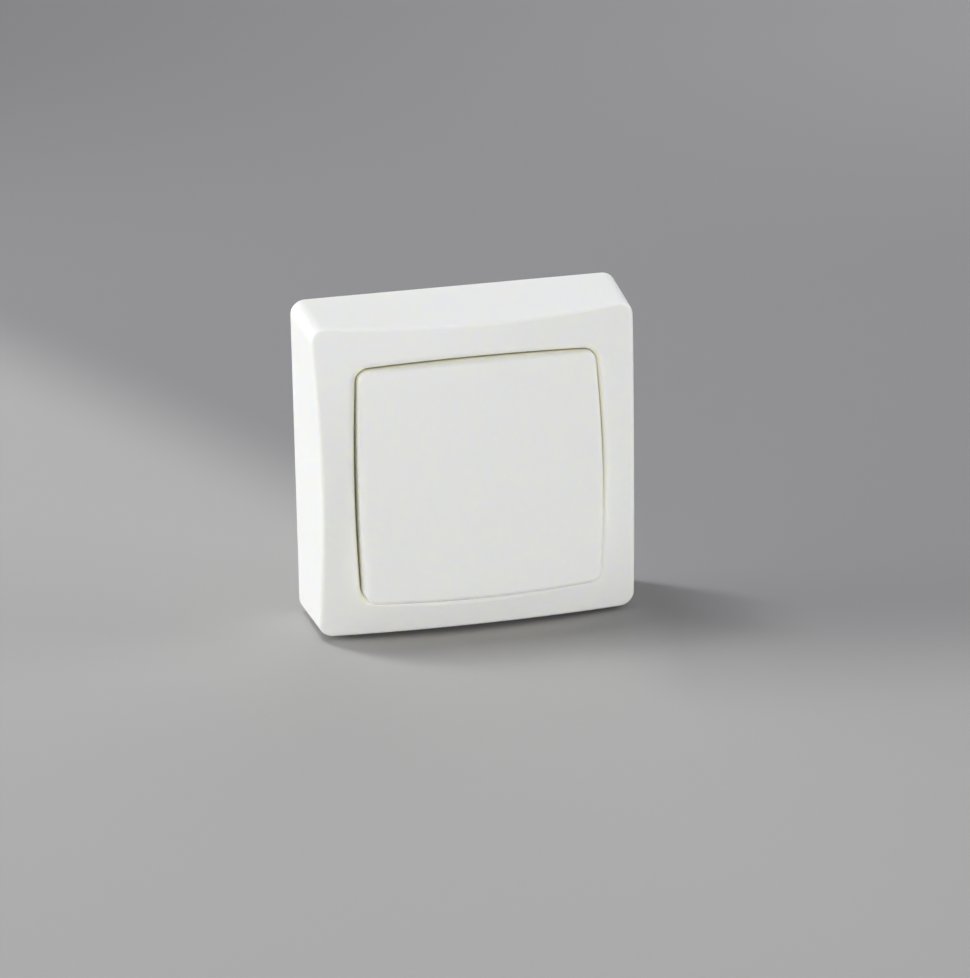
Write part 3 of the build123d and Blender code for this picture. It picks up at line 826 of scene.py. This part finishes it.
def add_group(tree, group, vector, **values):
    """A node group placed in a material's tree, with its values set by name."""
    node = tree.nodes.new("ShaderNodeGroup")
    node.node_tree = group
    tree.links.new(vector, node.inputs["Vector"])
    for socket, value in values.items():
        target = node.inputs[socket.replace("_", " ")]
        target.default_value = (*value, 1) if target.type == "RGBA" else value
    return node


def moulded_plastic(name, colour, shade, roughness, grain_size, grain_depth):
    """Moulded plastic: a drifting colour, a satin surface and a fine grain."""
    material, tree, shader, coordinates = material_base(name)
    drift = add_group(tree, bpy.data.node_groups["Colour Drift"], coordinates, Colour=colour, Shade=shade)
    tree.links.new(drift.outputs["Colour"], shader.inputs["Base Color"])
    grain = add_group(tree, bpy.data.node_groups["Moulded Grain"], coordinates, Roughness=roughness)
    grain.inputs["Grains per Metre"].default_value = 1 / grain_size
    tree.links.new(grain.outputs["Roughness"], shader.inputs["Roughness"])
    bump = tree.nodes.new("ShaderNodeBump")
    bump.inputs["Distance"].default_value = grain_depth
    tree.links.new(grain.outputs["Height"], bump.inputs["Height"])
    tree.links.new(bump.outputs["Normal"], shader.inputs["Normal"])
    return material


def paint_gap_shade(material, tone, reach, hood, rocker):
    """Painted shade: the plastic gets a darker, warmer tone inside the gap, which stands in for the shade and the
    warm bounce light there and fades out at the reach and at the front.

    The way from the gap's middle is the larger of the ways sideways and upwards, with the bulge of
    the sides taken out. How far a point lies behind the front is its distance below the dome, whose
    height falls with the square of the distance from its middle.
    """
    tree = material.node_tree
    shader = shader_of(material)
    coordinates = next(node for node in tree.nodes if node.type == "TEX_COORD").outputs["Object"]
    plain = shader.inputs["Base Color"].links[0].from_socket
    x, y, z = separated(tree, coordinates)
    gap_middle = (hood.opening + rocker.half_width) / 2
    bulge = (hood.opening_bulge + rocker.bulge) / 2 / gap_middle**2
    squares = [math_node(tree, "MULTIPLY", value, value) for value in (x, z)]
    sideways, upwards = (
        math_node(
            tree, "ADD", math_node(tree, "ABSOLUTE", value), math_node(tree, "MULTIPLY", other, bulge)
        )
        for value, other in ((x, squares[1]), (z, squares[0]))
    )
    way = math_node(tree, "SUBTRACT", math_node(tree, "MAXIMUM", sideways, upwards), gap_middle)
    near = eased_range(tree, math_node(tree, "ABSOLUTE", way), reach, 0)
    fall = math_node(tree, "MULTIPLY", math_node(tree, "ADD", *squares), 0.5 / hood.front_radius)
    behind = math_node(tree, "SUBTRACT", math_node(tree, "ADD", y, hood.crown), fall)
    deep = eased_range(tree, behind, -rocker.edge_radius, hood.opening_edge / 2)
    share = math_node(tree, "MULTIPLY", near, deep)
    # The painted warm shade is mixed into the white where the point lies deep in the gap
    tree.links.new(mixed(tree, share, plain, tone), shader.inputs["Base Color"])


def let_glow(material, depth):
    """Light enters the plastic and comes out again within the depth, red light furthest away."""
    shader = shader_of(material)
    shader.inputs["Subsurface Weight"].default_value = 1
    shader.inputs["Subsurface Radius"].default_value = (1, 0.93, 0.62)
    shader.inputs["Subsurface Scale"].default_value = depth


def plated_metal(name, colour, shade, roughness, grain_size, grain_depth):
    """Plated or bare metal: a mottled colour on a metallic surface with a fine grain."""
    material = moulded_plastic(name, colour, shade, roughness, grain_size, grain_depth)
    shader_of(material).inputs["Metallic"].default_value = 1
    return material


def dress(obj, material):
    """The object gets the material, in place of its own."""
    obj.data.materials.clear()
    obj.data.materials.append(material)


class SWITCH_OT_finishes(bpy.types.Operator):
    """Make the finishes and give them to the pieces that the frame brings."""

    bl_idname = "switch.finishes"
    bl_label = "Make Finishes"

    def execute(self, context):
        finish = context.scene.switch_finish
        make_grain_group()
        make_drift_group()
        white = moulded_plastic(
            "White Plastic", finish.white, finish.white_shade, finish.roughness,
            finish.grain_size, finish.grain_depth,
        )
        hood, rocker = context.scene.switch_hood, context.scene.switch_rocker
        # Painted shade and warm bounce light inside the gap round the rocker
        paint_gap_shade(white, finish.painted_gap_shade, finish.painted_gap_shade_reach, hood, rocker)
        let_glow(white, finish.glow_depth)
        finishes = {"white_plastic": white}
        inner_grain_depth = 0.006 * MM
        metal_grain_size = 0.1 * MM
        metal_grain_depth = 0.003 * MM

        # For each slot its finish: name, colour, the shade that the colour drifts to, and roughness
        plastics = {
            "base_plastic": ("Base Plastic", (0.80, 0.79, 0.74), (0.77, 0.76, 0.70), 0.55),
            "housing_plastic": ("Housing Plastic", (0.74, 0.73, 0.66), (0.70, 0.69, 0.62), 0.5),
            "lid_plastic": ("Lid Plastic", (0.72, 0.71, 0.62), (0.68, 0.67, 0.58), 0.5),
            "cradle_plastic": ("Cradle Plastic", (0.68, 0.68, 0.62), (0.64, 0.64, 0.58), 0.5),
            "plunger_plastic": ("Plunger Plastic", (0.10, 0.10, 0.11), (0.12, 0.12, 0.13), 0.35),
        }
        for slot, look in plastics.items():
            finishes[slot] = moulded_plastic(*look, finish.grain_size, inner_grain_depth)
        metals = {
            "yoke_steel": ("Zinc Plated Steel", (0.66, 0.67, 0.68), (0.58, 0.60, 0.63), 0.34),
            "screw_steel": ("Screw Steel", (0.70, 0.71, 0.72), (0.62, 0.63, 0.66), 0.28),
            "spring_steel": ("Spring Steel", (0.52, 0.52, 0.53), (0.44, 0.44, 0.45), 0.3),
            "clamp_steel": ("Clamp Steel", (0.64, 0.65, 0.64), (0.56, 0.57, 0.58), 0.36),
            "contact_brass": ("Contact Brass", (0.80, 0.62, 0.30), (0.72, 0.52, 0.24), 0.3),
            "contact_silver": ("Contact Silver", (0.86, 0.85, 0.83), (0.76, 0.74, 0.70), 0.25),
        }
        for slot, look in metals.items():
            finishes[slot] = plated_metal(*look, metal_grain_size, metal_grain_depth)
        for subpart in frame["record"]["subparts"]:
            dress(frame["nodes"][subpart["node"]], finishes[subpart["material_slot"]])
        return {"FINISHED"}


class SWITCH_OT_hood(bpy.types.Operator):
    """Build the hood with its domed front, opening, collar, ledges and knock-outs."""

    bl_idname = "switch.hood"
    bl_label = "Build Hood"

    def execute(self, context):
        shell = surface(hood_rings(context.scene.switch_hood), closed=True, place=from_wall)
        hood = add_piece("hood", [shell])
        dress(hood, bpy.data.materials["White Plastic"])
        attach(hood, "body")
        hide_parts("cover_frame")
        return {"FINISHED"}


class SWITCH_OT_rocker(bpy.types.Operator):
    """Build the rocker with its domed face, skirt and legs."""

    bl_idname = "switch.rocker"
    bl_label = "Build Rocker"

    def execute(self, context):
        sizes = context.scene.switch_rocker
        shell = surface(rocker_rings(sizes), closed=False, place=from_rocker)
        legs = [
            surface(leg_rings(sizes, side, up), closed=False, place=from_rocker)
            for side in (-1, 1)
            for up in (-sizes.leg_up, sizes.leg_up)
        ]
        rocker = add_piece("rocker_key", [shell, *legs])
        dress(rocker, bpy.data.materials["White Plastic"])
        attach(rocker, "rocker")
        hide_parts("rocker")
        return {"FINISHED"}


class SWITCH_OT_spring(bpy.types.Operator):
    """Build the plunger's spring."""

    bl_idname = "switch.spring"
    bl_label = "Build Spring"

    def execute(self, context):
        sizes = context.scene.switch_spring
        wire = surface(spring_rings(sizes), closed=False, place=from_rocker)
        coil = add_piece("plunger_coil", [wire])
        dress(coil, bpy.data.materials["Spring Steel"])
        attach(coil, "rocker")
        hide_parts("plunger_spring")
        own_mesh(coil)
        return {"FINISHED"}


# Stage


def add_lamp(name, place, target, width, height, power, colour):
    """An area lamp at a place that looks at the target."""
    data = bpy.data.lights.new(name, "AREA")
    data.shape = "RECTANGLE"
    data.size = width
    data.size_y = height
    data.energy = power
    data.color = colour
    lamp = bpy.data.objects.new(name, data)
    lamp.location = place
    lamp.rotation_euler = (Vector(target) - Vector(place)).to_track_quat("-Z", "Y").to_euler()
    bpy.context.scene.collection.objects.link(lamp)


def floor_material(stage):
    """The floor's grey, lighter near the switch as a painted pool of lamp light, which goes over softly into a
    darker grey behind the switch, painted shade where that light ends.

    Depth and place across are measured as the camera looks. The change lies at one depth on the right, and further
    and further back on the left. Beyond the start of the brightening the grey gets lighter to the right, as
    painted light, and fully so from its end on.
    """
    material, tree, shader, coordinates = material_base("Studio Floor")
    brightening_start = 0.25
    brightening_end = 0.56
    x, y, _ = separated(tree, coordinates)
    cosine, sine = math.cos(stage.azimuth), math.sin(stage.azimuth)
    across_x, across_y = math_node(tree, "MULTIPLY", x, cosine), math_node(tree, "MULTIPLY", y, sine)
    depth_x, depth_y = math_node(tree, "MULTIPLY", x, -sine), math_node(tree, "MULTIPLY", y, cosine)
    across = math_node(tree, "ADD", across_x, across_y)
    depth = math_node(tree, "ADD", depth_x, depth_y)
    left_of_bend = math_node(tree, "SUBTRACT", stage.floor_edge_bend, across)
    way = math_node(tree, "MULTIPLY", math_node(tree, "MAXIMUM", left_of_bend, 0), stage.floor_edge_slope)
    behind = math_node(tree, "SUBTRACT", depth, math_node(tree, "ADD", way, stage.floor_edge))
    away = eased_range(tree, behind, -stage.floor_edge_width / 2, stage.floor_edge_width / 2)
    far = eased_range(tree, depth, brightening_start, brightening_end)
    # Painted light: the far floor gets lighter towards the right
    drift = math_node(tree, "MULTIPLY", math_node(tree, "MULTIPLY", across, far), stage.painted_floor_brightening)
    # Painted light: the lighter pool near the switch goes over into the darker painted shade behind it
    colour = mixed(tree, away, stage.floor_colour, stage.floor_far_colour)
    lighter = tree.nodes.new("ShaderNodeVectorMath")
    lighter.operation = "SCALE"
    tree.links.new(colour, lighter.inputs["Vector"])
    tree.links.new(math_node(tree, "ADD", drift, 1), lighter.inputs["Scale"])
    tree.links.new(lighter.outputs["Vector"], shader.inputs["Base Color"])
    shader.inputs["Roughness"].default_value = 0.8
    shader.inputs["Specular IOR Level"].default_value = 0.2
    return material


def make_world(stage):
    """Even light from all sides, and a plain grey where the camera looks past the floor."""
    world = bpy.data.worlds.new("Studio World")
    bpy.context.scene.world = world
    world.use_nodes = True
    tree = world.node_tree
    tree.nodes.clear()
    path = tree.nodes.new("ShaderNodeLightPath")
    sky = tree.nodes.new("ShaderNodeBackground")
    sky.inputs["Color"].default_value = (*stage.light_colour, 1)
    sky.inputs["Strength"].default_value = stage.sky_strength
    seen = tree.nodes.new("ShaderNodeBackground")
    seen.inputs["Color"].default_value = (*stage.floor_far_colour, 1)
    mix = tree.nodes.new("ShaderNodeMixShader")
    output = tree.nodes.new("ShaderNodeOutputWorld")
    tree.links.new(path.outputs["Is Camera Ray"], mix.inputs["Fac"])
    tree.links.new(sky.outputs["Background"], mix.inputs[1])
    tree.links.new(seen.outputs["Background"], mix.inputs[2])
    tree.links.new(mix.outputs["Shader"], output.inputs["Surface"])


def add_camera(stage):
    """The camera, which looks back along its azimuth and elevation, rolled and shifted."""
    azimuth, elevation = stage.azimuth, stage.elevation
    back = Vector(
        (
            math.sin(azimuth) * math.cos(elevation),
            -math.cos(azimuth) * math.cos(elevation),
            math.sin(elevation),
        )
    )
    level = back.cross(Vector((0, 0, -1))).normalized()
    upright = back.cross(level)
    right = math.cos(stage.roll) * level + math.sin(stage.roll) * upright
    up = math.cos(stage.roll) * upright - math.sin(stage.roll) * level
    data = bpy.data.cameras.new("Camera")
    data.lens = stage.lens
    data.sensor_width = 36
    data.clip_start = 0.01
    data.clip_end = 50
    camera = bpy.data.objects.new("Camera", data)
    place = back * stage.distance + right * stage.offset_right + up * stage.offset_up
    camera.matrix_world = Matrix.Translation(place) @ Matrix((right, up, back)).transposed().to_4x4()
    bpy.context.scene.collection.objects.link(camera)
    bpy.context.scene.camera = camera


# Lamps: name, place, width, height and power. The strips stand high behind the switch on its left,
# so that their shadow is short and sharp. The low lamps light the sides and hardly reach the floor.
lamps = (
    ("Strip Middle", (-0.4987, 0.3914, 1.3595), 0.12, 0.3, 3.3),
    ("Strip High", (-0.2855, 0.224, 1.4554), 0.12, 0.5, 6.2),
    ("Left Back", (-1.7, 0.7, 0.5), 1.2, 0.8, 10.6),
    ("Left Low", (-1.9, 0.1, 0.15), 1.2, 0.5, 8.2),
    ("Far Left Back", (-1.3, 1.4, 0.15), 1.2, 0.5, 13.0),
    ("Right", (1.9, -0.5, 0.6), 1.0, 0.8, 12.6),
    ("Right Back", (1.0, 1.5, 1.0), 1.8, 1.2, 6.5),
    ("Front", (-0.25, -2.0, 0.05), 1.6, 0.4, 24.6),
)


class SWITCH_OT_stage(bpy.types.Operator):
    """Build the floor, the lamps, the world's light and the camera."""

    bl_idname = "switch.stage"
    bl_label = "Build Stage"

    def execute(self, context):
        stage = context.scene.switch_stage
        half = stage.floor_size / 2
        level = cad_low.z
        mesh = bpy.data.meshes.new("floor")
        corners = [(-half, -half, level), (half, -half, level), (half, half, level), (-half, half, level)]
        mesh.from_pydata(corners, [], [(0, 1, 2, 3)])
        floor = bpy.data.objects.new("floor", mesh)
        context.scene.collection.objects.link(floor)
        dress(floor, floor_material(stage))
        target = (0, -0.012, 0)
        for name, place, width, height, power in lamps:
            add_lamp(name, place, target, width, height, power, stage.light_colour)
        make_world(stage)
        add_camera(stage)
        context.scene.view_settings.view_transform = "Standard"
        return {"FINISHED"}


class SWITCH_PT_panel(bpy.types.Panel):
    """Panel with the sizes of the switch and the buttons that build it."""

    bl_label = "Light Switch"
    bl_idname = "SWITCH_PT_panel"
    bl_space_type = "VIEW_3D"
    bl_region_type = "UI"
    bl_category = "Light Switch"

    def draw(self, context):
        layout = self.layout
        for operator in operators:
            layout.operator(operator.bl_idname)
        for name in settings:
            box = layout.box()
            group = getattr(context.scene, name)
            for value in settings[name].__annotations__:
                box.prop(group, value)


settings = {
    "switch_hood": SwitchHoodSettings,
    "switch_rocker": SwitchRockerSettings,
    "switch_spring": SwitchSpringSettings,
    "switch_finish": SwitchFinishSettings,
    "switch_stage": SwitchStageSettings,
}
operators = (
    SWITCH_OT_finishes,
    SWITCH_OT_hood,
    SWITCH_OT_rocker,
    SWITCH_OT_spring,
    SWITCH_OT_stage,
)


def register():
    """Register the settings, the operators and the panel."""
    for name, group in settings.items():
        bpy.utils.register_class(group)
        setattr(bpy.types.Scene, name, PointerProperty(type=group))
    for operator in operators:
        bpy.utils.register_class(operator)
    bpy.utils.register_class(SWITCH_PT_panel)


def unregister():
    """Remove the panel, the operators and the settings."""
    bpy.utils.unregister_class(SWITCH_PT_panel)
    for operator in reversed(operators):
        bpy.utils.unregister_class(operator)
    for name, group in reversed(settings.items()):
        delattr(bpy.types.Scene, name)
        bpy.utils.unregister_class(group)


def main():
    """Build the whole switch and its stage."""
    register()
    bpy.ops.switch.finishes()
    bpy.ops.switch.hood()
    bpy.ops.switch.rocker()
    bpy.ops.switch.spring()
    bpy.ops.switch.stage()


if __name__ == "__main__":
    main()
